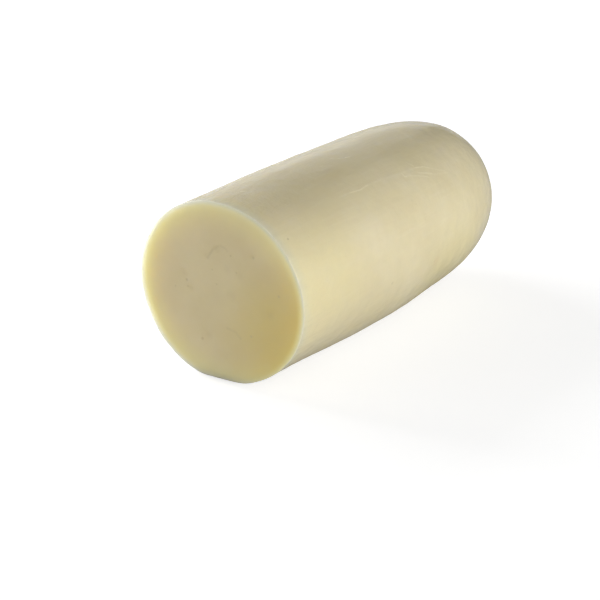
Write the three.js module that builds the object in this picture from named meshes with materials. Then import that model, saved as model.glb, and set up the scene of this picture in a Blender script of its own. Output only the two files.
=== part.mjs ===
// A log of stretched-curd cheese lying on its side: cut across at one end, rounded at the other.
// Millimetres, +Z up. The log runs along X, with its cut face towards -X and its rounded end towards +X.
// The origin is under the middle of the log, on the surface that it rests on.
import * as THREE from "three";

// Driving dimensions
const WIDTH = 100; // across the log at the cut face
const LENGTH = 214; // from the cut face to the rounded tip
const SAG = 0.985; // height over width of a cross-section: the soft log settles under its own weight
const FLAT_DEPTH = 1.5; // how much of the round the resting side has lost
const SHOULDER = 7.0; // exponent along the log: higher keeps the body straight for longer
const DOME = 2.8; // exponent across the log: 2 is an oval end, higher is blunter
const EDGE_ROUND = 1.4; // radius of the cut face's soft edge
const CUT_SKEW = THREE.MathUtils.degToRad(3.6); // the knife's turn about the vertical
const SKEW_REACH = 100; // how far from the cut the skew is felt

// The skin's gentle unevenness: waves around the log, which wind along it by a turn in so many millimetres
const LUMPS = [
  { height: 0.22, waves: 2, windLength: 300, start: 0.6 },
  { height: 0.14, waves: 3, windLength: -180, start: 2.1 },
];

// How finely the surface is divided
const STEPS_ROUND = 84;
const STEPS_ALONG = 40;
const STEPS_EDGE = 4;

// Radius of the log at a distance from the cut face.
function bodyRadius(fromCut) {
  const share = fromCut / LENGTH;
  return (WIDTH / 2) * Math.max(0, 1 - share ** SHOULDER) ** (1 / DOME);
}

// Half of the log's outline, from the middle of the cut face to the tip: x is the radius, y runs along the log.
function halfOutline() {
  const edgeRadius = bodyRadius(EDGE_ROUND) - EDGE_ROUND;
  const outline = new THREE.Path();
  outline.moveTo(0, 0);
  outline.lineTo(edgeRadius / 2, 0);
  outline.lineTo(edgeRadius, 0);
  outline.absarc(edgeRadius, EDGE_ROUND, EDGE_ROUND, -Math.PI / 2, 0);
  for (let step = 1; step <= STEPS_ALONG; step++) {
    const fromCut = LENGTH * Math.sin((step / STEPS_ALONG) * (Math.PI / 2));
    outline.lineTo(bodyRadius(fromCut), fromCut);
  }
  return outline.getPoints(STEPS_EDGE);
}

// Height of the skin above the even round, at a place along and around the log.
function unevenness(along, turn) {
  let height = 0;
  for (const lump of LUMPS) {
    const wind = (2 * Math.PI * along) / lump.windLength;
    height += lump.height * Math.sin(lump.waves * turn + wind + lump.start);
  }
  return height;
}

// Turns the even round into the real log: uneven, settled, flat underneath and cut a little askew.
function settle(geometry) {
  const restingHeight = FLAT_DEPTH - (SAG * WIDTH) / 2;
  const place = geometry.attributes.position;
  const point = new THREE.Vector3();
  for (let i = 0; i < place.count; i++) {
    point.fromBufferAttribute(place, i);
    const radius = Math.hypot(point.y, point.z);
    const turn = Math.atan2(point.z, point.y);
    const uneven = radius + (radius / (WIDTH / 2)) * unevenness(point.x, turn);
    const across = uneven * Math.cos(turn);
    const height = Math.max(SAG * uneven * Math.sin(turn), restingHeight);
    const nearCut = Math.max(0, 1 - point.x / SKEW_REACH);
    const along = point.x - nearCut * Math.tan(CUT_SKEW) * across;
    place.setXYZ(i, along, across, height);
  }
}

// Puts the origin under the middle of the log's box, on its resting side.
function standOnOrigin(geometry) {
  geometry.computeBoundingBox();
  const middle = geometry.boundingBox.getCenter(new THREE.Vector3());
  geometry.translate(-middle.x, -middle.y, -geometry.boundingBox.min.z);
}

function cheeseLog() {
  const geometry = new THREE.LatheGeometry(halfOutline(), STEPS_ROUND);
  geometry.rotateZ(-Math.PI / 2);
  settle(geometry);
  standOnOrigin(geometry);
  geometry.computeVertexNormals();
  const cheese = new THREE.MeshStandardMaterial({
    color: 0xe3d6ac,
    roughness: 0.42,
    metalness: 0,
  });
  const log = new THREE.Mesh(geometry, cheese);
  log.name = "cheese_log";
  return log;
}

const scamorza = new THREE.Group();
scamorza.name = "scamorza";
scamorza.add(cheeseLog());

export default scamorza;
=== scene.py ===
# A log of stretched-curd cheese, cut across at one end, on a pale floor in soft studio light.
# Metres, +Z up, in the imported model's frame: the log runs along X, with its cut face towards -X.
import math

import bmesh
import bpy
from mathutils import Matrix, Vector


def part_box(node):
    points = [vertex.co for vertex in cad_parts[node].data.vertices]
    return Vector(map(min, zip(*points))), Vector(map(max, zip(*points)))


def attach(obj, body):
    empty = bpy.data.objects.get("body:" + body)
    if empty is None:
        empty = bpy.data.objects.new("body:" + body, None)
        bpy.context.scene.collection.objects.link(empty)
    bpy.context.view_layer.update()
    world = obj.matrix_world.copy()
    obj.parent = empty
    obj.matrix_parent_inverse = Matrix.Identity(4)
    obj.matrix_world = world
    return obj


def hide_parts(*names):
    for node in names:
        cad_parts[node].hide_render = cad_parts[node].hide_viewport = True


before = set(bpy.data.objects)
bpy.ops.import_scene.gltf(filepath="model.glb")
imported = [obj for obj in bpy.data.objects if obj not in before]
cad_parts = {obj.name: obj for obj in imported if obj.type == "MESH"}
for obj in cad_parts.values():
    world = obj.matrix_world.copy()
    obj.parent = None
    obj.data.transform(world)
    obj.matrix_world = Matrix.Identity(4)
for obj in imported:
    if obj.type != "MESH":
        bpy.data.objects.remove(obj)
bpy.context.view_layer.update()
MM = 0.001

# The log's form
LOW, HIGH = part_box("cheese_log")
SKIN_PROUD = 0.3 * MM  # how far the solid's unevenness stands out of its even round
SAG = 0.985  # height over width of a cross-section
FLAT_DEPTH = 1.5 * MM  # how much of the round the resting side has lost
SHOULDER = 7.0  # exponent along the log: higher keeps the body straight for longer
DOME = 2.8  # exponent across the log: 2 is an oval end, higher is blunter
CUT_SKEW = math.radians(3.6)  # the knife's turn about the vertical
SKEW_REACH = 100 * MM  # how far from the cut the skew is felt
EDGE_ROUND = 0.5 * MM  # how far from the cut's edge its rounding starts
EDGE_PROFILE = 0.5  # an even round
RADIUS = (HIGH.y - LOW.y) / 2 - SKIN_PROUD
AXIS_HEIGHT = SAG * RADIUS - FLAT_DEPTH
CUT_X = LOW.x + RADIUS * math.tan(CUT_SKEW)
LENGTH = HIGH.x - CUT_X

# The net that the log is modelled on
SIDES = 44
RINGS = 24
TIP_SHARE = 0.62  # radius of the rounded end's net over the log's
EDGE_SEGMENTS = 2
SMOOTH_LEVELS = 3
NET_SWELL = 3 / (2 + math.cos(2 * math.pi / SIDES))  # undoes what smoothing draws a ring in by
SHARP_ANGLE = math.radians(60)
FACING_CUT = -0.8  # a normal's X, at the most, on the cut face

# Relief of the surfaces: the size of a rise or hollow, and the height from lowest to highest
SKIN_WAVES = (50 * MM, 0.9 * MM)
SKIN_PEEL = (6 * MM, 0.32 * MM)
CUT_WAVES = (18 * MM, 0.45 * MM)
CUT_GRAIN = (4 * MM, 0.12 * MM)
CUT_DISH = 0.4 * MM  # how far the middle of the cut face has sunk
CLOUD_DEPTH = 2  # how many finer rises, each half the size of the last, lie on the first
CLOUD_LEVEL = 0.5  # the cloud value that leaves the surface where it is

# Swellings of the skin: along the log, arc from the top towards -Y, reach and height, in millimetres
SKIN_SWELLINGS = [
    (80.0, 18.0, 34.0, 0.9),
    (-5.0, 112.0, 46.0, 1.0),
    (57.0, 101.0, 34.0, 0.8),
    (-104.0, -78.0, 34.0, 0.7),
]

# Dents in the skin: along the log, arc from the top towards -Y, reach and depth, in millimetres
SKIN_DENTS = [
    (17.0, -11.0, 42.0, 0.8),
    (-100.0, 128.0, 72.0, 2.4),
    (-95.6, 38.2, 3.0, 0.25),
    (11.0, 38.1, 6.0, 0.25),
    (-31.4, 8.3, 5.0, 0.18),
    (-86.0, -0.3, 4.0, 0.15),
    (42.0, 9.0, 8.0, 0.15),
    (60.3, 13.8, 8.0, 0.15),
    (-62.0, 96.0, 12.0, 0.30),
    (35.0, -70.0, 14.0, 0.35),
    (-40.0, -52.0, 9.0, 0.25),
    (70.0, -28.0, 7.0, 0.20),
]

# Dimples in the cut face: across to +Y and height, reach and depth, in millimetres
CUT_DIMPLES = [
    (23.1, 53.5, 4.0, 0.40),
    (18.7, 47.0, 4.0, 0.35),
    (9.0, 67.0, 4.0, 0.30),
    (2.0, 71.0, 4.0, 0.30),
    (-3.8, 62.6, 6.0, 0.30),
    (-11.4, 60.9, 5.0, 0.35),
    (-19.1, 72.8, 3.5, 0.35),
    (-6.0, 49.0, 7.0, 0.30),
    (8.0, 24.0, 6.0, 0.35),
    (-30.0, 44.0, 5.0, 0.30),
]

# Small pits in the cut face: across to +Y, height and reach in millimetres, and how far each darkens with
# painted shade
CUT_PITS = [
    (21.2, 51.3, 1.3, 0.55),
    (20.6, 47.8, 1.1, 0.50),
    (18.0, 47.2, 1.0, 0.45),
    (-19.8, 72.4, 1.3, 0.50),
    (-6.4, 70.4, 1.0, 0.45),
    (-9.5, 62.0, 1.1, 0.45),
    (2.8, 52.9, 1.1, 0.40),
    (5.2, 60.3, 1.0, 0.40),
    (-34.7, 55.7, 1.2, 0.40),
    (12.0, 21.0, 1.2, 0.45),
    (-18.0, 30.0, 1.1, 0.45),
]

# Folds in the cut curd: width in millimetres, strength, and the places that each runs through,
# across to +Y and by height, in millimetres
CUT_FOLDS = [
    (1.3, 0.38, [(7.9, 65.5), (6.7, 67.6), (4.2, 71.2), (0.0, 74.2), (-3.3, 73.3), (-4.7, 71.8)]),
    (1.3, 0.25, [(-12.0, 27.0), (-8.5, 30.0), (-3.0, 31.0)]),
]

# Creases of the stretched skin: width in millimetres, strength, and the places that each runs through,
# along the log and by arc from the top towards -Y, in millimetres
CREASES = [
    (1.2, 0.28, [(-45, 30), (-38, 30), (-28, 31.5), (-20, 30.7), (-5, 31.3)]),
    (1.2, 0.28, [(-5, 31.3), (8.5, 32.6), (20, 33.6), (27, 35)]),
    (1.1, 0.27, [(27, 35), (32.6, 37.8), (41.4, 42.4)]),
    (1.1, 0.33, [(17.8, 28.4), (20.3, 32.4)]),
    (1.1, 0.31, [(8, 32.6), (8.3, 35.5), (12.2, 36), (18.2, 38), (25, 41)]),
    (1.1, 0.29, [(19.6, 36.6), (31.3, 41.1), (42.5, 43.7)]),
    (1.0, 0.22, [(-20.4, 3.9), (-16.1, 7.8), (-9.7, 9.4)]),
    (1.0, 0.30, [(-32.4, 6.6), (-26.7, 10)]),
    (1.0, 0.36, [(-86.9, -1.8), (-84.6, 0.5)]),
    (2.6, 0.24, [(43.6, 3), (40.6, 15.5)]),
    (2.6, 0.12, [(63.9, 9.5), (58.4, 16.3)]),
]

# How uneven creases and folds are
SWAY_SIZE = 9 * MM
SWAY = 1.2 * MM  # how far they stray, from side to side
BREAK_SIZE = 12 * MM
BREAK_NOISE = (0.32, 0.66)  # noise at which they are weakest and strongest
BREAK_STRENGTH = (0.5, 1.2)  # how strong they are there

# Single spots in the skin: along the log, arc from the top towards -Y and reach in millimetres,
# strength and colour
SKIN_SPOTS = [
    # the pit is painted shade in the small dent at the same place
    (-95.6, 38.2, 0.9, 0.5, "pit"),
    (58.2, 45.5, 1.1, 0.8, "scuff"),
    (15.6, 88.1, 5.0, 0.35, "warm spot"),
    (-82.0, 66.0, 46.0, 0.6, "skin golden"),
    (36.0, 98.0, 42.0, 0.7, "skin golden"),
]

# Painted golden glow of light coming through the curd from the lit skin, where the cut curd is most
# golden: across to +Y, height and reach in millimetres, and strength
GOLDEN_GLOW_SPOT = (-46.0, 30.0, 56.0, 0.9)

# Colours of the curd and its skin, and of the painted glow, highlights and shade on them
COLOURS = {
    "skin pale": (0.83, 0.75, 0.52, 1),
    "skin deep": (0.79, 0.705, 0.46, 1),
    "skin golden": (0.82, 0.735, 0.43, 1),
    "curd pale": (0.775, 0.673, 0.42, 1),
    "curd deep": (0.725, 0.618, 0.365, 1),
    # partly the outer curd's own yellow, partly a painted glow of light through the skin
    "outer curd and glow": (0.805, 0.72, 0.39, 1),
    # a painted golden glow of light coming through the curd
    "golden glow": (0.745, 0.607, 0.23, 1),
    # a painted glow of light coming through the cut's edge
    "edge glow": (0.85, 0.775, 0.475, 1),
    # a painted cool highlight along the cut's edge
    "edge highlight": (0.70, 0.69, 0.56, 1),
    "scuff": (0.92, 0.89, 0.78, 1),
    # pale threads, and creases partly scuffed and partly a painted highlight on each fold's lit side
    "crease": (0.93, 0.86, 0.65, 1),
    # painted shade in the pits and pinpricks
    "pit": (0.42, 0.35, 0.20, 1),
    "warm spot": (0.78, 0.60, 0.38, 1),
    # painted shade in the cut face's dimples, folds and pits
    "hollow shade": (0.60, 0.51, 0.30, 1),
}

# Light inside the curd
CURD_LIGHT_REACH = 16.0 * MM  # how far light spreads
CURD_LIGHT_TINT = (1.0, 0.97, 0.75)  # the share of that reach that red, green and blue go
CURD_IOR = 1.45

# Tone of the curd: the size of each pattern, and how far it shifts the tone from pale to deep
PATCH_SIZE = 34 * MM
PATCH_NOISE = (0.25, 0.75)  # noise at which the tone is all pale and all deep
FLECK_SIZE = 5 * MM
FLECK_SHIFT = 0.35
STREAK_SIZE = 4 * MM
STREAK_DRAW = (0.12, 1, 1)  # how fast the streaks change along each axis
SKIN_STREAK_SHIFT = 0.5
CUT_STREAK_SHIFT = 0.0
GRAIN_SIZE = 1.3 * MM
GRAIN_SHIFT = 0.16

# Soft edges of the masks: where each starts and where it is full, as a share of its reach
SPOT_FADE = (1.0, 0.2)
CREASE_END_FADE = (1.2, 0.9)
CREASE_SIDE_FADE = (1.0, 0.0)
PINPRICK_FADE = (0.11, 0.03)  # as a share of the spacing
EDGE_FADE = (1.0, 0.1)

# Finish of the skin: blends are shares of a colour, and bumps are heights in millimetres
SKIN_EDGE_HIGHLIGHT_REACH = 7.0 * MM  # how far the skin is pale along the cut, a painted highlight
SKIN_EDGE_HIGHLIGHT_BLEND = 0.4
THREAD_SIZE = 1.8 * MM
THREAD_DRAW = (0.05, 1, 1)  # how fast the pale threads change along each axis
THREAD_NOISE = (0.56, 0.72)  # noise at which a thread starts and is full
THREAD_BLEND = 0.10
SKIN_PINPRICK_SPACING = 14 * MM
SKIN_PINPRICK_SHARE = 0.10  # how many of the places have one
# a pinprick's painted shade, and its dent
SKIN_PINPRICK_SHADE_BLEND = 0.15
SKIN_PINPRICK_BUMP = -0.10
SMUDGE_SIZE = 16 * MM
SKIN_ROUGHNESS = (0.14, 0.28)
CREASE_ROUGHNESS = 0.2  # how much rougher a full crease is
CREASE_BUMP = 0.20
PEEL_SIZE = 2.6 * MM
PEEL_BUMP = 0.096
DRAWN_SIZE = 2.4 * MM
DRAWN_DRAW = (0.15, 1, 1)  # how fast the drawn lines change along each axis
DRAWN_BUMP = 0.156
SKIN_GRAIN_BUMP = 0.022
HANDLED_END = (CUT_X + 45 * MM, CUT_X + 10 * MM)  # where bumps are higher by the cut, from first to full
HANDLED_BUMP = 2.4  # how many times higher
LOW_SKIN = (55 * MM, 20 * MM)  # heights where bumps are lower, from first to full
LOW_BUMP = 0.35  # the share of the bumps that is left there

# Finish of the cut face: blends are shares of a colour, and bumps are heights in millimetres
OUTER_CURD_AND_GLOW_ZONE = (0.60, 1.0)  # share of the radius where the curd turns yellower, partly its own outer curd and partly a painted glow of light through the skin, from first to full
OUTER_CURD_AND_GLOW_WANDER_SIZE = 22 * MM
OUTER_CURD_AND_GLOW_WANDER = 0.08  # how far that zone strays, from side to side
EDGE_GLOW_REACH = 5.5 * MM  # how far the cut face is creamier along its edge, a painted glow of light coming through it
EDGE_GLOW_BLEND = 0.9
CUT_EDGE_HIGHLIGHT_REACH = 2.8 * MM  # how far the cut face is pale along its edge, a painted highlight
CUT_EDGE_HIGHLIGHT_BLEND = 0.65
# painted shade in the dimples
DIMPLE_SHADE_BLEND = 0.12
DIMPLE_SHADE = 0.6  # the share of a dimple's reach that is darker with painted shade
CUT_PINPRICK_SPACING = 9 * MM
CUT_PINPRICK_SHARE = 0.14  # how many of the places have one
# a pinprick's painted shade, and its dent
CUT_PINPRICK_SHADE_BLEND = 0.15
CUT_PINPRICK_BUMP = -0.12
HOLLOW_BUMP = -0.3  # in a full fold or pit
TEAR_SIZE = 7 * MM  # size of the duller, torn patches
CUT_ROUGHNESS = (0.42, 0.58)
DRAG_SIZE = 2.2 * MM
DRAG_DRAW = (1, 1, 0.06)  # how fast the knife's drag lines change along each axis
DRAG_BUMP = 0.06
CUT_GRAIN_BUMP = 0.07

# Soft lights round the log: name, azimuth and elevation in degrees, width and height, and power in watts
LIGHT_DISTANCE = 1.2
LIGHTS = [
    ("key", 0, 10, 0.6, 0.6, 9.6),
    ("upper front", -30, 33, 0.6, 0.6, 2.7),
    ("left low", -130, 5, 0.7, 0.3, 6.4),
    ("backdrop", 150, 22, 1.7, 0.8, 2.1),
    ("back", 180, 25, 0.8, 0.7, 12.6),
    ("horizon", 130, 7, 1.2, 0.3, 0.5),
    ("right fill", 40, 10, 0.6, 0.6, 0.73),
]
WORLD_LIGHT = 0.02

# The floor: it adds white for the eye, and a glow behind the log for the skin to mirror
FLOOR_SIZE = 30.0
FLOOR_DROP = 0.3 * MM  # how far it lies below the log
FLOOR_GREY = (0.5, 0.5, 0.5, 1)
FLOOR_ROUGHNESS = 0.9
FLOOR_NEAR_FAR = (0.4, 1.0)  # distances from the log's middle that count as near and far
FLOOR_WHITE = (0.72, 1.0)  # how much white it adds, near and far
FLOOR_GLOW = 0.24
FLOOR_GLOW_START = (0.04, 0.12)  # distance behind the log's middle where it glows, from first to full
FLOOR_GLOW_SLANT = 0.25  # how much farther back that is, for each metre towards +X

# The photograph's view, for a picture 600 pixels wide
PICTURE = 600
FOCAL_PIXELS = 1600
SENSOR = 36.0
VIEW_AZIMUTH = math.radians(-52.76)
VIEW_ELEVATION = math.radians(24.12)
VIEW_DISTANCE = 0.8704
VIEW_TARGET = Vector((0.0015, 0.0, 0.04775))
TARGET_PIXEL = (346.86, 232.18)


def outline_radius(share):
    """Radius of the log at a share of its length from the cut."""
    return RADIUS * max(0.0, 1 - share**SHOULDER) ** (1 / DOME)


def outline_share(radius):
    """Share of the log's length from the cut at which the rounded end has a radius."""
    return max(0.0, 1 - (radius / RADIUS) ** DOME) ** (1 / SHOULDER)


def skew_at(from_cut):
    """Turn of a cross-section about the vertical, at a distance from the cut."""
    return CUT_SKEW * max(0.0, 1 - from_cut / SKEW_REACH)


def on_axis(from_cut):
    """A point of the log's axis, at a distance from the cut."""
    return Vector((CUT_X + from_cut, 0, AXIS_HEIGHT))


def on_skin(along, arc):
    """A point of the even round, by its place along the log and its arc from the top towards -Y."""
    turn = arc / RADIUS
    return Vector((along, -RADIUS * math.sin(turn), AXIS_HEIGHT + SAG * RADIUS * math.cos(turn)))


def on_cut(across, height):
    """A point of the cut's plane, by its place across to +Y and its height."""
    return Vector((CUT_X - across * math.tan(CUT_SKEW), across, height))


def faces_cut(place, normal):
    return normal.x < FACING_CUT and place.x < CUT_X + LENGTH / 2


def select_points(piece, wanted):
    """Selects the points that pass a test of their place."""
    bpy.ops.mesh.select_mode(type="VERT")
    bpy.ops.mesh.select_all(action="DESELECT")
    net = bmesh.from_edit_mesh(piece.data)
    for point in net.verts:
        if wanted(point.co):
            point.select_set(True)
    net.select_flush(True)
    bmesh.update_edit_mesh(piece.data)


def select_nearest(piece, place):
    """Selects the point nearest to a place, and gives its normal."""
    bpy.ops.mesh.select_mode(type="VERT")
    bpy.ops.mesh.select_all(action="DESELECT")
    net = bmesh.from_edit_mesh(piece.data)
    nearest = min(net.verts, key=lambda point: (point.co - place).length_squared)
    nearest.select_set(True)
    bmesh.update_edit_mesh(piece.data)
    return nearest.normal.copy()


def select_cut_face(piece):
    bpy.ops.mesh.select_mode(type="FACE")
    bpy.ops.mesh.select_all(action="DESELECT")
    net = bmesh.from_edit_mesh(piece.data)
    for face in net.faces:
        if faces_cut(face.calc_center_median(), face.normal):
            face.select_set(True)
    bmesh.update_edit_mesh(piece.data)


def turn_selected(angle, middle):
    """Turns what is selected about the vertical, counterclockwise from above."""
    bpy.ops.transform.rotate(
        value=-angle, orient_axis="Z", orient_type="GLOBAL", center_override=middle
    )


def draw_cut_face():
    """A round net of squares, standing where the knife went through."""
    bpy.ops.object.select_all(action="DESELECT")
    bpy.ops.mesh.primitive_circle_add(
        vertices=SIDES,
        radius=RADIUS * NET_SWELL,
        fill_type="NOTHING",
        location=on_axis(0),
        rotation=(0, math.pi / 2, 0),
    )
    log = bpy.context.object
    log.name = "scamorza_log"
    log.data.name = "scamorza_log"
    bpy.ops.object.transform_apply(location=True, rotation=True, scale=True)
    bpy.ops.object.mode_set(mode="EDIT")
    bpy.ops.mesh.select_mode(type="VERT")
    bpy.ops.mesh.select_all(action="SELECT")
    bpy.ops.mesh.fill_grid(span=SIDES // 4)
    bpy.ops.mesh.select_all(action="SELECT")
    bpy.ops.transform.resize(value=(1, 1, SAG), center_override=on_axis(0))
    turn_selected(skew_at(0), on_axis(0))
    return log


def draw_out_body():
    """Draws the cut face out along the log, ring by ring, to the rounded end's net."""
    last_turn = math.asin(outline_share(RADIUS * TIP_SHARE))
    before = 0.0
    for ring in range(1, RINGS + 1):
        here = LENGTH * math.sin(last_turn * ring / RINGS)
        narrower = outline_radius(here / LENGTH) / outline_radius(before / LENGTH)
        bpy.ops.mesh.extrude_region_move(
            TRANSFORM_OT_translate={"value": (here - before, 0, 0)}
        )
        bpy.ops.transform.resize(value=(1, narrower, narrower), center_override=on_axis(here))
        turn_selected(skew_at(here) - skew_at(before), on_axis(here))
        before = here


def bulge_tip(log):
    """Moves the selected points, the rounded end's net, out onto the dome."""
    net = bmesh.from_edit_mesh(log.data)
    for point in net.verts:
        if not point.select:
            continue
        radius = math.hypot(point.co.y, (point.co.z - AXIS_HEIGHT) / SAG) / NET_SWELL
        point.co.x = CUT_X + LENGTH * outline_share(radius)
    bmesh.update_edit_mesh(log.data)


def face_outwards():
    bpy.ops.mesh.select_all(action="SELECT")
    bpy.ops.mesh.normals_make_consistent(inside=False)


def flatten_underside(log):
    """Presses what hangs below the resting surface flat."""
    select_points(log, lambda place: place.z < 0)
    bpy.ops.transform.resize(value=(1, 1, 0), center_override=(0, 0, 0))


def round_cut_edge():
    """Rounds the cut's edge over, as soft curd leaves a blade."""
    bpy.ops.mesh.select_mode(type="EDGE")
    bpy.ops.mesh.select_all(action="DESELECT")
    bpy.ops.mesh.edges_select_sharp(sharpness=SHARP_ANGLE)
    bpy.ops.mesh.bevel(
        offset=EDGE_ROUND, segments=EDGE_SEGMENTS, profile=EDGE_PROFILE, affect="EDGES"
    )


def smooth_net(log):
    """Smooths the net into the soft form of the log."""
    bpy.ops.object.mode_set(mode="OBJECT")
    smoothing = log.modifiers.new("smooth", "SUBSURF")
    smoothing.levels = SMOOTH_LEVELS
    smoothing.render_levels = SMOOTH_LEVELS
    bpy.ops.object.modifier_apply(modifier=smoothing.name)


def name_surfaces(log):
    """Keeps the points of the cut face and of the skin as groups."""
    bpy.ops.object.mode_set(mode="EDIT")
    select_cut_face(log)
    bpy.ops.object.vertex_group_assign_new()
    log.vertex_groups[-1].name = "cut face"
    bpy.ops.mesh.select_all(action="INVERT")
    bpy.ops.object.vertex_group_assign_new()
    log.vertex_groups[-1].name = "skin"
    bpy.ops.object.mode_set(mode="OBJECT")


def roughen(log, surface, size, height):
    """Raises and lowers a surface by soft clouds of a size."""
    clouds = bpy.data.textures.new(f"{surface} relief", "CLOUDS")
    clouds.noise_scale = size
    clouds.noise_depth = CLOUD_DEPTH
    relief = log.modifiers.new("relief", "DISPLACE")
    relief.texture = clouds
    relief.texture_coords = "LOCAL"
    relief.strength = height
    relief.mid_level = CLOUD_LEVEL
    relief.vertex_group = surface
    bpy.ops.object.modifier_apply(modifier=relief.name)


def press_in(log, place, reach, depth):
    """Presses a soft hollow into the surface, or raises a swelling where the depth is below zero."""
    normal = select_nearest(log, place)
    bpy.ops.transform.translate(
        value=-normal * depth,
        use_proportional_edit=True,
        proportional_edit_falloff="SMOOTH",
        proportional_size=reach,
    )


def model_log():
    """The log: drawn out of its cut face, smoothed, and then given the unevenness of real curd."""
    log = draw_cut_face()
    draw_out_body()
    bulge_tip(log)
    face_outwards()
    flatten_underside(log)
    round_cut_edge()
    smooth_net(log)
    name_surfaces(log)
    roughen(log, "skin", *SKIN_WAVES)
    roughen(log, "skin", *SKIN_PEEL)
    roughen(log, "cut face", *CUT_WAVES)
    roughen(log, "cut face", *CUT_GRAIN)
    bpy.ops.object.mode_set(mode="EDIT")
    press_in(log, on_cut(0, AXIS_HEIGHT), RADIUS, CUT_DISH)
    for along, arc, reach, height in SKIN_SWELLINGS:
        press_in(log, on_skin(along * MM, arc * MM), reach * MM, -height * MM)
    for along, arc, reach, depth in SKIN_DENTS:
        press_in(log, on_skin(along * MM, arc * MM), reach * MM, depth * MM)
    for across, height, reach, depth in CUT_DIMPLES:
        press_in(log, on_cut(across * MM, height * MM), reach * MM, depth * MM)
    flatten_underside(log)
    bpy.ops.object.mode_set(mode="OBJECT")
    bpy.ops.object.shade_smooth()
    return log


def finish_surfaces(log, skin, cut_curd):
    """Gives the skin and the cut face their own finishes."""
    log.data.materials.append(skin)
    log.data.materials.append(cut_curd)
    bpy.ops.object.mode_set(mode="EDIT")
    select_cut_face(log)
    log.active_material_index = 1
    bpy.ops.object.material_slot_assign()
    bpy.ops.object.mode_set(mode="OBJECT")


def node(tree, kind, inputs=None, **settings):
    """Adds a node, with its settings. An input takes a value, or a link from another node's socket."""
    made = tree.nodes.new("ShaderNode" + kind)
    for name, value in settings.items():
        setattr(made, name, value)
    for name, value in (inputs or {}).items():
        if isinstance(value, bpy.types.NodeSocket):
            tree.links.new(value, made.inputs[name])
        else:
            made.inputs[name].default_value = value
    return made


def maths(tree, operation, *values):
    return node(tree, "Math", dict(enumerate(values)), operation=operation).outputs[0]


def fade(tree, value, start, end, low=0.0, high=1.0):
    """Goes smoothly from low at start to high at end."""
    inputs = {"Value": value, "From Min": start, "From Max": end, "To Min": low, "To Max": high}
    return node(tree, "MapRange", inputs, interpolation_type="SMOOTHSTEP").outputs["Result"]


def scaled(tree, value, low, high):
    """Spreads a value from 0 to 1 between two others."""
    return node(tree, "MapRange", {"Value": value, "To Min": low, "To Max": high}).outputs["Result"]


def centred(tree, value, span):
    """Spreads a value from 0 to 1 over a span with zero in its middle."""
    return scaled(tree, value, -span / 2, span / 2)


def blended(tree, share, first, second):
    """A mix of two colours: 0, 6 and 7 are the Mix node's share and colours, and 2 is the colour out."""
    return node(tree, "Mix", {0: share, 6: first, 7: second}, data_type="RGBA").outputs[2]


def tinted(tree, colour, mask, strength, tint):
    """A colour with a named one mixed in where a mask lies."""
    return blended(tree, maths(tree, "MULTIPLY", mask, strength), colour, COLOURS[tint])


def noise(tree, place, size, detail=2.0):
    """Soft noise from 0 to 1 whose patches are about a size wide."""
    inputs = {"Vector": place, "Scale": 1 / size, "Detail": detail}
    return node(tree, "TexNoise", inputs).outputs["Fac"]


def stretched(tree, place, scale):
    """Places that draw a pattern out along each axis whose scale is below 1."""
    inputs = {"Vector": place, "Scale": scale}
    return node(tree, "Mapping", inputs, vector_type="POINT").outputs["Vector"]


def new_group(name, inputs, outputs):
    """An empty node group with its sockets: its tree, what comes in and what goes out."""
    tree = bpy.data.node_groups.new(name, "ShaderNodeTree")
    for title, kind in inputs.items():
        tree.interface.new_socket(title, in_out="INPUT", socket_type="NodeSocket" + kind)
    for title, kind in outputs.items():
        tree.interface.new_socket(title, in_out="OUTPUT", socket_type="NodeSocket" + kind)
    return tree, tree.nodes.new("NodeGroupInput").outputs, tree.nodes.new("NodeGroupOutput").inputs


def use_group(tree, group, inputs):
    return node(tree, "Group", inputs, node_tree=group).outputs


def group_curd_tone():
    """Cream that wanders between a pale and a deep tone, with streaks along the log and a fine grain."""
    tree, given, out = new_group(
        "curd tone",
        {"Place": "Vector", "Pale": "Color", "Deep": "Color", "Streaks": "Float"},
        {"Colour": "Color", "Grain": "Float"},
    )
    place = given["Place"]
    patches = noise(tree, place, PATCH_SIZE)
    flecks = noise(tree, place, FLECK_SIZE, detail=3.0)
    streaks = noise(tree, stretched(tree, place, STREAK_DRAW), STREAK_SIZE, detail=3.0)
    grain = noise(tree, place, GRAIN_SIZE)
    depth = fade(tree, patches, *PATCH_NOISE)
    depth = maths(tree, "ADD", depth, centred(tree, flecks, FLECK_SHIFT))
    streak = maths(tree, "MULTIPLY", centred(tree, streaks, 1.0), given["Streaks"])
    depth = maths(tree, "ADD", depth, streak)
    depth = maths(tree, "ADD", depth, centred(tree, grain, GRAIN_SHIFT))
    tree.links.new(blended(tree, depth, given["Pale"], given["Deep"]), out["Colour"])
    tree.links.new(grain, out["Grain"])
    return tree


def group_spot():
    """A soft round spot at a place: 1 in its middle and 0 from its edge on."""
    tree, given, out = new_group(
        "spot",
        {"Place": "Vector", "Middle": "Vector", "Reach": "Float"},
        {"Mask": "Float"},
    )
    gap = node(tree, "VectorMath", {0: given["Place"], 1: given["Middle"]}, operation="DISTANCE")
    share = maths(tree, "DIVIDE", gap.outputs["Value"], given["Reach"])
    tree.links.new(fade(tree, share, *SPOT_FADE), out["Mask"])
    return tree


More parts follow.
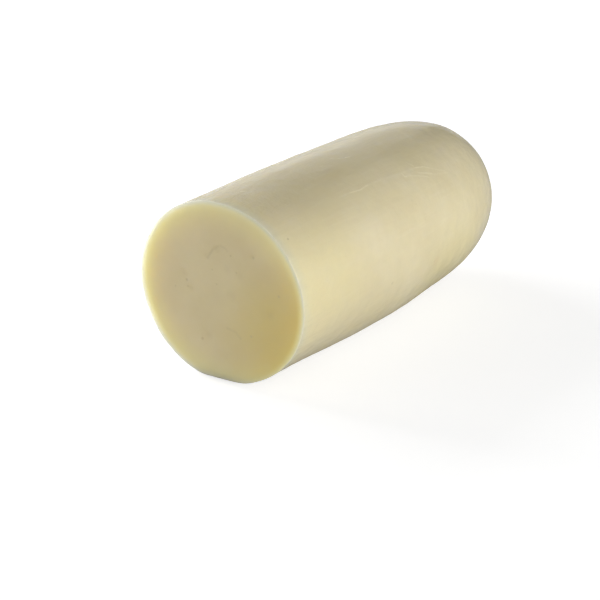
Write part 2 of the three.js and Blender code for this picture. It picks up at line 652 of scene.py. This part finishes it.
def group_crease():
    """One straight stretch of a crease on a surface laid flat: 1 along its middle and 0 outside it."""
    tree, given, out = new_group(
        "crease",
        {"Unrolled": "Vector", "Middle": "Vector", "Direction": "Vector", "Reach": "Vector"},
        {"Mask": "Float"},
    )
    inputs = {
        "Vector": given["Unrolled"],
        "Location": given["Middle"],
        "Rotation": given["Direction"],
        "Scale": given["Reach"],
    }
    laid = node(tree, "Mapping", inputs, vector_type="TEXTURE").outputs["Vector"]
    parts = node(tree, "SeparateXYZ", {"Vector": laid}).outputs
    along = fade(tree, maths(tree, "ABSOLUTE", parts["X"]), *CREASE_END_FADE)
    across = fade(tree, maths(tree, "ABSOLUTE", parts["Y"]), *CREASE_SIDE_FADE)
    tree.links.new(maths(tree, "MULTIPLY", along, across), out["Mask"])
    return tree


def group_unevenness():
    """How far creases stray to one side, and how strong they are, from place to place."""
    tree, given, out = new_group(
        "unevenness",
        {"Place": "Vector"},
        {"Sway": "Float", "Strength": "Float"},
    )
    place = given["Place"]
    breaks = noise(tree, place, BREAK_SIZE, detail=3.0)
    tree.links.new(centred(tree, noise(tree, place, SWAY_SIZE, detail=1.0), SWAY), out["Sway"])
    tree.links.new(fade(tree, breaks, *BREAK_NOISE, *BREAK_STRENGTH), out["Strength"])
    return tree


def group_pinpricks():
    """Sparse tiny pits, as air leaves in curd: 1 in a pit."""
    tree, given, out = new_group(
        "pinpricks",
        {"Place": "Vector", "Spacing": "Float", "Share": "Float"},
        {"Mask": "Float"},
    )
    scale = maths(tree, "DIVIDE", 1.0, given["Spacing"])
    cells = node(tree, "TexVoronoi", {"Vector": given["Place"], "Scale": scale}).outputs
    chance = node(tree, "SeparateColor", {"Color": cells["Color"]}).outputs["Red"]
    kept = maths(tree, "LESS_THAN", chance, given["Share"])
    pit = fade(tree, cells["Distance"], *PINPRICK_FADE)
    tree.links.new(maths(tree, "MULTIPLY", kept, pit), out["Mask"])
    return tree


def group_edge_light_band():
    """The cut's edge, which light goes through, as a band for the painted glow and highlight along it: 1
    on it and 0 from a reach on.
    """
    tree, given, out = new_group(
        "edge light band",
        {"Place": "Vector", "Reach": "Float"},
        {"Mask": "Float"},
    )
    place = given["Place"]
    across_cut = (1, math.tan(CUT_SKEW), 0)
    depth = node(tree, "VectorMath", {0: place, 1: across_cut}, operation="DOT_PRODUCT").outputs["Value"]
    depth = maths(tree, "SUBTRACT", depth, CUT_X)
    inwards = maths(tree, "MULTIPLY", maths(tree, "SUBTRACT", 1.0, from_axis(tree, place)), RADIUS)
    both = node(tree, "CombineXYZ", {"X": depth, "Y": inwards}).outputs["Vector"]
    gap = node(tree, "VectorMath", {0: both}, operation="LENGTH").outputs["Value"]
    share = maths(tree, "DIVIDE", gap, given["Reach"])
    tree.links.new(fade(tree, share, *EDGE_FADE), out["Mask"])
    return tree


def make_groups():
    """The effects that the skin and the cut face share."""
    return {
        "tone": group_curd_tone(),
        "spot": group_spot(),
        "crease": group_crease(),
        "unevenness": group_unevenness(),
        "pinpricks": group_pinpricks(),
        "edge": group_edge_light_band(),
    }


def unrolled_skin(tree, place):
    """The skin laid out flat: X along the log and Y round it, as an arc from the top towards -Y."""
    parts = node(tree, "SeparateXYZ", {"Vector": place}).outputs
    towards = maths(tree, "MULTIPLY", parts["Y"], -1.0)
    rise = maths(tree, "DIVIDE", maths(tree, "SUBTRACT", parts["Z"], AXIS_HEIGHT), SAG)
    turn = maths(tree, "ARCTAN2", towards, rise)
    arc = maths(tree, "MULTIPLY", turn, RADIUS)
    return node(tree, "CombineXYZ", {"X": parts["X"], "Y": arc}).outputs["Vector"]


def level_cut(tree, place):
    """The cut face laid out flat: X across to +Y and Y by height."""
    parts = node(tree, "SeparateXYZ", {"Vector": place}).outputs
    return node(tree, "CombineXYZ", {"X": parts["Y"], "Y": parts["Z"]}).outputs["Vector"]


def from_axis(tree, place):
    """Distance from the log's axis over the log's radius."""
    inputs = {"Vector": place, "Location": (0, 0, AXIS_HEIGHT), "Scale": (1, RADIUS, SAG * RADIUS)}
    about_axis = node(tree, "Mapping", inputs, vector_type="TEXTURE").outputs["Vector"]
    flat = node(tree, "VectorMath", {0: about_axis, 1: (0, 1, 1)}, operation="MULTIPLY").outputs[0]
    return node(tree, "VectorMath", {0: flat}, operation="LENGTH").outputs["Value"]


def curd_tone(tree, groups, place, pale, deep, streaks):
    inputs = {"Place": place, "Pale": COLOURS[pale], "Deep": COLOURS[deep], "Streaks": streaks}
    return use_group(tree, groups["tone"], inputs)


def spot_mask(tree, groups, place, middle, reach):
    inputs = {"Place": place, "Middle": middle, "Reach": reach}
    return use_group(tree, groups["spot"], inputs)["Mask"]


def pinprick_mask(tree, groups, place, spacing, share):
    inputs = {"Place": place, "Spacing": spacing, "Share": share}
    return use_group(tree, groups["pinpricks"], inputs)["Mask"]


def edge_light_mask(tree, groups, place, reach):
    return use_group(tree, groups["edge"], {"Place": place, "Reach": reach})["Mask"]


def crease_mask(tree, groups, creases, unrolled, place):
    """All the creases of a surface together, none of them quite straight or even."""
    uneven = use_group(tree, groups["unevenness"], {"Place": place})
    sway = node(tree, "CombineXYZ", {"Y": uneven["Sway"]}).outputs["Vector"]
    unrolled = node(tree, "VectorMath", {0: unrolled, 1: sway}, operation="ADD").outputs[0]
    total = 0.0
    for width, strength, places in creases:
        for (x0, y0), (x1, y1) in zip(places, places[1:]):
            inputs = {
                "Unrolled": unrolled,
                "Middle": ((x0 + x1) / 2 * MM, (y0 + y1) / 2 * MM, 0),
                "Direction": (0, 0, math.atan2(y1 - y0, x1 - x0)),
                "Reach": (math.hypot(x1 - x0, y1 - y0) / 2 * MM, width * MM, 1),
            }
            mask = use_group(tree, groups["crease"], inputs)["Mask"]
            total = maths(tree, "MAXIMUM", maths(tree, "MULTIPLY", mask, strength), total)
    return maths(tree, "MULTIPLY", total, uneven["Strength"])


def new_material(name):
    """A material with the curd's inner light already set: its tree and its shader."""
    material = bpy.data.materials.new(name)
    material.use_nodes = True
    tree = material.node_tree
    shader = tree.nodes["Principled BSDF"]
    shader.subsurface_method = "RANDOM_WALK"
    shader.inputs["Subsurface Weight"].default_value = 1.0
    shader.inputs["Subsurface Radius"].default_value = CURD_LIGHT_TINT
    shader.inputs["Subsurface Scale"].default_value = CURD_LIGHT_REACH
    shader.inputs["IOR"].default_value = CURD_IOR
    return material, tree, shader


def join_up(tree, shader, colour, roughness, height):
    """Gives a shader its colour, its roughness and its bumps, whose height is in millimetres."""
    bumps = node(tree, "Bump", {"Height": height, "Distance": MM}).outputs["Normal"]
    tree.links.new(colour, shader.inputs["Base Color"])
    tree.links.new(roughness, shader.inputs["Roughness"])
    tree.links.new(bumps, shader.inputs["Normal"])


def skin_colour(tree, groups, place, tone, creases, pinpricks):
    """The skin's colour: paler by the cut, a painted highlight; paler on threads, and on creases partly
    from scuffing and partly from a painted highlight on each fold's lit side; with its single spots, whose
    pit is painted shade.
    """
    edge = edge_light_mask(tree, groups, place, SKIN_EDGE_HIGHLIGHT_REACH)
    # painted highlight along the cut
    colour = tinted(tree, tone, edge, SKIN_EDGE_HIGHLIGHT_BLEND, "edge highlight")
    threads = fade(tree, noise(tree, stretched(tree, place, THREAD_DRAW), THREAD_SIZE), *THREAD_NOISE)
    # pale threads, and creases partly a painted highlight on each fold's lit side
    threads_and_crease_highlights = maths(tree, "MULTIPLY_ADD", threads, THREAD_BLEND, creases)
    colour = blended(tree, threads_and_crease_highlights, colour, COLOURS["crease"])
    # painted shade in the pinpricks
    colour = tinted(tree, colour, pinpricks, SKIN_PINPRICK_SHADE_BLEND, "pit")
    # the pit spot is painted shade in a small dent
    for along, arc, reach, strength, tint in SKIN_SPOTS:
        mask = spot_mask(tree, groups, place, on_skin(along * MM, arc * MM), reach * MM)
        colour = tinted(tree, colour, mask, strength, tint)
    return colour


def skin_roughness(tree, place, creases):
    """Wax that handling has smudged, duller on creases."""
    smudges = noise(tree, place, SMUDGE_SIZE, detail=3.0)
    return maths(tree, "MULTIPLY_ADD", creases, CREASE_ROUGHNESS, scaled(tree, smudges, *SKIN_ROUGHNESS))


def skin_bumps(tree, place, grain, creases, pinpricks):
    """Fine peel and lines drawn along the log, higher by the cut and lower near the floor."""
    peel = noise(tree, place, PEEL_SIZE)
    drawn = noise(tree, stretched(tree, place, DRAWN_DRAW), DRAWN_SIZE)
    height = maths(tree, "ADD", centred(tree, drawn, DRAWN_BUMP), centred(tree, peel, PEEL_BUMP))
    height = maths(tree, "ADD", height, centred(tree, grain, SKIN_GRAIN_BUMP))
    parts = node(tree, "SeparateXYZ", {"Vector": place}).outputs
    height = maths(tree, "MULTIPLY", height, fade(tree, parts["X"], *HANDLED_END, 1.0, HANDLED_BUMP))
    height = maths(tree, "MULTIPLY", height, fade(tree, parts["Z"], *LOW_SKIN, 1.0, LOW_BUMP))
    height = maths(tree, "MULTIPLY_ADD", creases, CREASE_BUMP, height)
    return maths(tree, "MULTIPLY_ADD", pinpricks, SKIN_PINPRICK_BUMP, height)


def skin_material(groups):
    """The log's smooth, waxy skin."""
    material, tree, shader = new_material("waxy skin")
    place = node(tree, "TexCoord").outputs["Object"]
    tone = curd_tone(tree, groups, place, "skin pale", "skin deep", SKIN_STREAK_SHIFT)
    creases = crease_mask(tree, groups, CREASES, unrolled_skin(tree, place), place)
    pinpricks = pinprick_mask(tree, groups, place, SKIN_PINPRICK_SPACING, SKIN_PINPRICK_SHARE)
    colour = skin_colour(tree, groups, place, tone["Colour"], creases, pinpricks)
    roughness = skin_roughness(tree, place, creases)
    height = skin_bumps(tree, place, tone["Grain"], creases, pinpricks)
    join_up(tree, shader, colour, roughness, height)
    return material


def cut_zones(tree, groups, place, tone):
    """The cut curd's colour: yellower towards the skin, partly its own outer curd and partly a painted
    glow; a painted golden glow on one side; a painted glow of light through the edge, and a pale painted
    highlight at the very edge.
    """
    wander = centred(tree, noise(tree, place, OUTER_CURD_AND_GLOW_WANDER_SIZE, detail=1.0), OUTER_CURD_AND_GLOW_WANDER)
    # yellower outer curd, partly a painted glow of light coming through the skin
    outer_curd_and_glow = fade(tree, maths(tree, "ADD", from_axis(tree, place), wander), *OUTER_CURD_AND_GLOW_ZONE)
    colour = blended(tree, outer_curd_and_glow, tone, COLOURS["outer curd and glow"])
    # painted golden glow of light coming through the curd from the lit skin
    across, height, reach, strength = GOLDEN_GLOW_SPOT
    golden = spot_mask(tree, groups, place, on_cut(across * MM, height * MM), reach * MM)
    colour = tinted(tree, colour, golden, strength, "golden glow")
    # painted glow of light coming through the cut's edge
    edge_glow = edge_light_mask(tree, groups, place, EDGE_GLOW_REACH)
    colour = tinted(tree, colour, edge_glow, EDGE_GLOW_BLEND, "edge glow")
    # painted highlight at the very edge
    edge = edge_light_mask(tree, groups, place, CUT_EDGE_HIGHLIGHT_REACH)
    return tinted(tree, colour, edge, CUT_EDGE_HIGHLIGHT_BLEND, "edge highlight")


def cut_dimples(tree, groups, place, colour):
    """Darkens the middles of the dimples a little with painted shade."""
    for across, height, reach, _ in CUT_DIMPLES:
        middle = on_cut(across * MM, height * MM)
        mask = spot_mask(tree, groups, place, middle, reach * DIMPLE_SHADE * MM)
        colour = tinted(tree, colour, mask, DIMPLE_SHADE_BLEND, "hollow shade")
    return colour


def cut_hollows(tree, groups, place, colour):
    """Darkens the folds and the small pits with painted shade: the colour, and a mask of them all."""
    hollows = crease_mask(tree, groups, CUT_FOLDS, level_cut(tree, place), place)
    # painted shade in the folds
    colour = blended(tree, hollows, colour, COLOURS["hollow shade"])
    # painted shade in the small pits
    for across, height, reach, strength in CUT_PITS:
        mask = spot_mask(tree, groups, place, on_cut(across * MM, height * MM), reach * MM)
        mask = maths(tree, "MULTIPLY", mask, strength)
        colour = blended(tree, mask, colour, COLOURS["hollow shade"])
        hollows = maths(tree, "MAXIMUM", hollows, mask)
    return colour, hollows


def cut_bumps(tree, place, grain, pinpricks, hollows):
    """Lines of the knife's drag, a fine grain, and the pits and folds."""
    drag = noise(tree, stretched(tree, place, DRAG_DRAW), DRAG_SIZE)
    height = maths(tree, "ADD", centred(tree, drag, DRAG_BUMP), centred(tree, grain, CUT_GRAIN_BUMP))
    height = maths(tree, "MULTIPLY_ADD", pinpricks, CUT_PINPRICK_BUMP, height)
    return maths(tree, "MULTIPLY_ADD", hollows, HOLLOW_BUMP, height)


def cut_material(groups):
    """The cut curd: beige in the middle and duller than the skin."""
    material, tree, shader = new_material("cut curd")
    place = node(tree, "TexCoord").outputs["Object"]
    tone = curd_tone(tree, groups, place, "curd pale", "curd deep", CUT_STREAK_SHIFT)
    colour = cut_zones(tree, groups, place, tone["Colour"])
    colour = cut_dimples(tree, groups, place, colour)
    pinpricks = pinprick_mask(tree, groups, place, CUT_PINPRICK_SPACING, CUT_PINPRICK_SHARE)
    # painted shade in the pinpricks
    colour = tinted(tree, colour, pinpricks, CUT_PINPRICK_SHADE_BLEND, "pit")
    colour, hollows = cut_hollows(tree, groups, place, colour)
    roughness = scaled(tree, noise(tree, place, TEAR_SIZE, detail=3.0), *CUT_ROUGHNESS)
    height = cut_bumps(tree, place, tone["Grain"], pinpricks, hollows)
    join_up(tree, shader, colour, roughness, height)
    return material


def direction(azimuth, elevation):
    """The way out from the log, by an azimuth from -Y towards +X and an elevation."""
    return Vector(
        (
            math.sin(azimuth) * math.cos(elevation),
            -math.cos(azimuth) * math.cos(elevation),
            math.sin(elevation),
        )
    )


def soft_light(name, azimuth, elevation, width, height, power):
    """A wide soft light round the log, aimed at its middle."""
    light = bpy.data.lights.new(name, "AREA")
    light.shape = "RECTANGLE"
    light.size = width
    light.size_y = height
    light.energy = power
    lamp = bpy.data.objects.new(name, light)
    bpy.context.scene.collection.objects.link(lamp)
    away = direction(math.radians(azimuth), math.radians(elevation))
    lamp.location = VIEW_TARGET + away * LIGHT_DISTANCE
    lamp.rotation_euler = away.to_track_quat("Z", "Y").to_euler()


def make_floor():
    bpy.ops.object.select_all(action="DESELECT")
    bpy.ops.mesh.primitive_plane_add(size=FLOOR_SIZE, location=(0, 0, -FLOOR_DROP))
    floor = bpy.context.object
    floor.name = "floor"
    floor.data.materials.append(floor_material())


def floor_material():
    """Pale floor: white to the eye, with the log's soft shadow, but only a dim light on the log itself."""
    material = bpy.data.materials.new("pale floor")
    material.use_nodes = True
    tree = material.node_tree
    shader = tree.nodes["Principled BSDF"]
    shader.inputs["Base Color"].default_value = FLOOR_GREY
    shader.inputs["Roughness"].default_value = FLOOR_ROUGHNESS
    shader.inputs["Emission Color"].default_value = (1, 1, 1, 1)
    path = node(tree, "LightPath").outputs
    place = node(tree, "TexCoord").outputs["Object"]
    parts = node(tree, "SeparateXYZ", {"Vector": place}).outputs
    behind = maths(tree, "MULTIPLY_ADD", parts["X"], -FLOOR_GLOW_SLANT, parts["Y"])
    shining = maths(tree, "MULTIPLY", path["Is Glossy Ray"], fade(tree, behind, *FLOOR_GLOW_START))
    mirrored = maths(tree, "MULTIPLY", shining, FLOOR_GLOW)
    away = node(tree, "VectorMath", {0: place}, operation="LENGTH").outputs["Value"]
    white = fade(tree, away, *FLOOR_NEAR_FAR, *FLOOR_WHITE)
    seen = maths(tree, "MULTIPLY_ADD", path["Is Camera Ray"], white, mirrored)
    tree.links.new(seen, shader.inputs["Emission Strength"])
    return material


def make_world():
    world = bpy.data.worlds.new("studio")
    bpy.context.scene.world = world
    world.use_nodes = True
    background = world.node_tree.nodes["Background"]
    background.inputs["Color"].default_value = (1, 1, 1, 1)
    background.inputs["Strength"].default_value = WORLD_LIGHT


def make_camera():
    """The photograph's camera: it sees the middle of the log at its own pixel."""
    back = direction(VIEW_AZIMUTH, VIEW_ELEVATION)
    right = Vector((math.cos(VIEW_AZIMUTH), math.sin(VIEW_AZIMUTH), 0))
    up = back.cross(right)
    turn = Matrix((right, up, back)).transposed()
    middle = PICTURE / 2
    sight = Vector(
        (
            (TARGET_PIXEL[0] - middle) / FOCAL_PIXELS,
            (middle - TARGET_PIXEL[1]) / FOCAL_PIXELS,
            -1,
        )
    ).normalized()
    camera = bpy.data.objects.new("camera", bpy.data.cameras.new("camera"))
    bpy.context.scene.collection.objects.link(camera)
    camera.data.sensor_width = SENSOR
    camera.data.lens = SENSOR * FOCAL_PIXELS / PICTURE
    camera.matrix_world = turn.to_4x4()
    camera.location = VIEW_TARGET - turn @ (sight * VIEW_DISTANCE)
    bpy.context.scene.camera = camera


make_camera()
log = model_log()
groups = make_groups()
finish_surfaces(log, skin_material(groups), cut_material(groups))
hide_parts("cheese_log")
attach(log, "root")
make_floor()
make_world()
for light in LIGHTS:
    soft_light(*light)
bpy.context.scene.view_settings.view_transform = "Standard"
